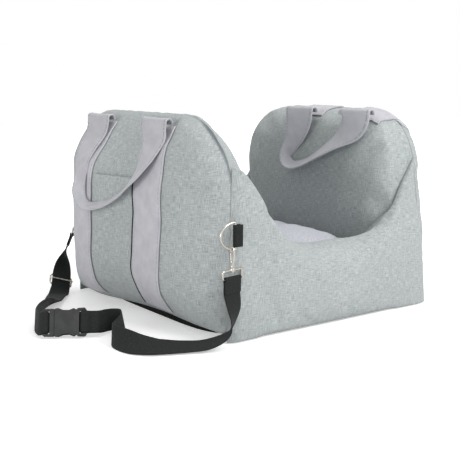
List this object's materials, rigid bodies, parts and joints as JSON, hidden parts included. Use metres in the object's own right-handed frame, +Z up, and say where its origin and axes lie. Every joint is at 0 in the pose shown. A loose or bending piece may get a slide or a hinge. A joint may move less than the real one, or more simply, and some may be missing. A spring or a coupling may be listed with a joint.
{
  "type": "pet car seat bed",
  "caption": "Padded pet car seat bed with tall pillow walls, low saddle sides, lift-out seat cushion, carry handles, patch pocket and a clip-on buckled tether",
  "frame": {"origin": "middle of the bed's footprint, on the surface it stands on", "axes": "+X to the tall wall without a pocket, +Y to the far low side, +Z up"},
  "size_m": [0.7376, 0.5516, 0.3748],
  "materials": {
    "melange_cloth": "cool grey melange linen weave",
    "lilac_cloth": "smooth pale lilac-grey suede-like cloth",
    "cushion_cloth": "soft lavender-grey cloth",
    "base_cloth": "black non-slip cloth",
    "filling": "white fibre filling",
    "foam": "off-white foam",
    "board": "plain stiffening board",
    "webbing": "black woven webbing",
    "nickel": "nickel plate",
    "black_plastic": "moulded black plastic",
    "zip_tape": "grey zip tape"
  },
  "bodies": {
    "bed": {"base_pad": "base_cloth", "base_board": "board", "left_wall_cover": "melange_cloth", "left_wall_filling": "filling", "right_wall_cover": "melange_cloth", "right_wall_filling": "filling", "near_side_cover": "melange_cloth", "near_side_filling": "filling", "far_side_cover": "melange_cloth", "far_side_filling": "filling", "left_near_band": "lilac_cloth", "left_far_band": "lilac_cloth", "right_near_band": "lilac_cloth", "right_far_band": "lilac_cloth", "left_pocket": "melange_cloth", "near_ring_tab": "webbing", "far_ring_tab": "webbing"},
    "seat_cushion": {"seat_cushion_cover": "cushion_cloth", "seat_cushion_foam": "foam", "cushion_zip": "zip_tape"},
    "zip_slider": {"cushion_zip_slider": "nickel"},
    "left_carry_handle": {"left_handle": "lilac_cloth"},
    "right_carry_handle": {"right_handle": "lilac_cloth"},
    "near_ring": {"near_d_ring": "nickel", "near_hook_body": "nickel"},
    "near_gate": {"near_hook_gate": "nickel"},
    "near_tether": {"near_hook_loop": "nickel", "near_webbing": "webbing", "buckle_female": "black_plastic"},
    "far_tether": {"buckle_male": "black_plastic", "far_webbing": "webbing"},
    "lower_prong": {"buckle_prong_lower": "black_plastic"},
    "upper_prong": {"buckle_prong_upper": "black_plastic"},
    "adjuster": {"strap_glide": "nickel"},
    "far_ring": {"far_d_ring": "nickel", "far_hook_body": "nickel"},
    "far_gate": {"far_hook_gate": "nickel"},
    "far_loop": {"far_hook_loop": "nickel", "far_webbing_end": "webbing"}
  },
  "joints": [
    {"name": "cushion_lift", "type": "slide", "parent": "bed", "child": "seat_cushion", "axis": [0, 0, 1], "range_m": [0, 0.09]},
    {"name": "zip_slide", "type": "slide", "parent": "seat_cushion", "child": "zip_slider", "axis": [1, 0, 0], "range_m": [0, 0.166]},
    {"name": "left_handle_swing", "type": "hinge", "parent": "bed", "child": "left_carry_handle", "pos_m": [-0.25419, 0.022, 0.3565], "axis": [0, 1, 0], "range_deg": [0, 150]},
    {"name": "right_handle_swing", "type": "hinge", "parent": "bed", "child": "right_carry_handle", "pos_m": [0.1443, -0.068, 0.3645], "axis": [0, 1, 0], "range_deg": [0, 150]},
    {"name": "near_ring_swing", "type": "hinge", "parent": "bed", "child": "near_ring", "pos_m": [-0.2195, -0.25695, 0.182], "axis": [0, 0, 1], "range_deg": [0, 95]},
    {"name": "near_gate_open", "type": "hinge", "parent": "near_ring", "child": "near_gate", "pos_m": [-0.2257, -0.25485, 0.1381], "axis": [1, 0, 0], "range_deg": [0, 18], "stiffness_Nm_per_rad": 0.03, "springref_deg": -5.73},
    {"name": "near_loop_swivel", "type": "hinge", "parent": "near_ring", "child": "near_tether", "pos_m": [-0.2257, -0.25695, 0.1603], "axis": [0, 0, 1], "range_deg": [-95, 0]},
    {"name": "buckle_release", "type": "slide", "parent": "near_tether", "child": "far_tether", "axis": [-0.8572, 0.515, 0], "range_m": [0, 0.03]},
    {"name": "lower_prong_squeeze", "type": "hinge", "parent": "far_tether", "child": "lower_prong", "pos_m": [-0.43908, -0.04322, 0.01192], "axis": [-0.4589, -0.7637, 0.454], "range_deg": [0, 8], "stiffness_Nm_per_rad": 0.12, "springref_deg": -1.15},
    {"name": "upper_prong_squeeze", "type": "hinge", "parent": "far_tether", "child": "upper_prong", "pos_m": [-0.4323, -0.03193, 0.03775], "axis": [-0.4589, -0.7637, 0.454], "range_deg": [-8, 0], "stiffness_Nm_per_rad": 0.12, "springref_deg": 1.15},
    {"name": "adjuster_slide", "type": "slide", "parent": "far_tether", "child": "adjuster", "axis": [-0.3804, -0.5311, -0.7571], "range_m": [-0.004, 0.004]},
    {"name": "far_ring_swing", "type": "hinge", "parent": "bed", "child": "far_ring", "pos_m": [-0.2195, 0.25695, 0.175], "axis": [0, 0, 1], "range_deg": [-95, 0]},
    {"name": "far_gate_open", "type": "hinge", "parent": "far_ring", "child": "far_gate", "pos_m": [-0.24569, 0.25485, 0.13669], "axis": [-0.9063, 0, 0.4226], "range_deg": [0, 18], "stiffness_Nm_per_rad": 0.03, "springref_deg": -5.73},
    {"name": "far_loop_swivel", "type": "hinge", "parent": "far_ring", "child": "far_loop", "pos_m": [-0.23631, 0.25695, 0.15681], "axis": [-0.4226, 0, -0.9063], "range_deg": [-20, 20]}
  ],
  "couplings": [
    {"joint": "near_loop_swivel", "follows": "near_ring_swing", "ratio": -1},
    {"joint": "upper_prong_squeeze", "follows": "lower_prong_squeeze", "ratio": -1}
  ]
}
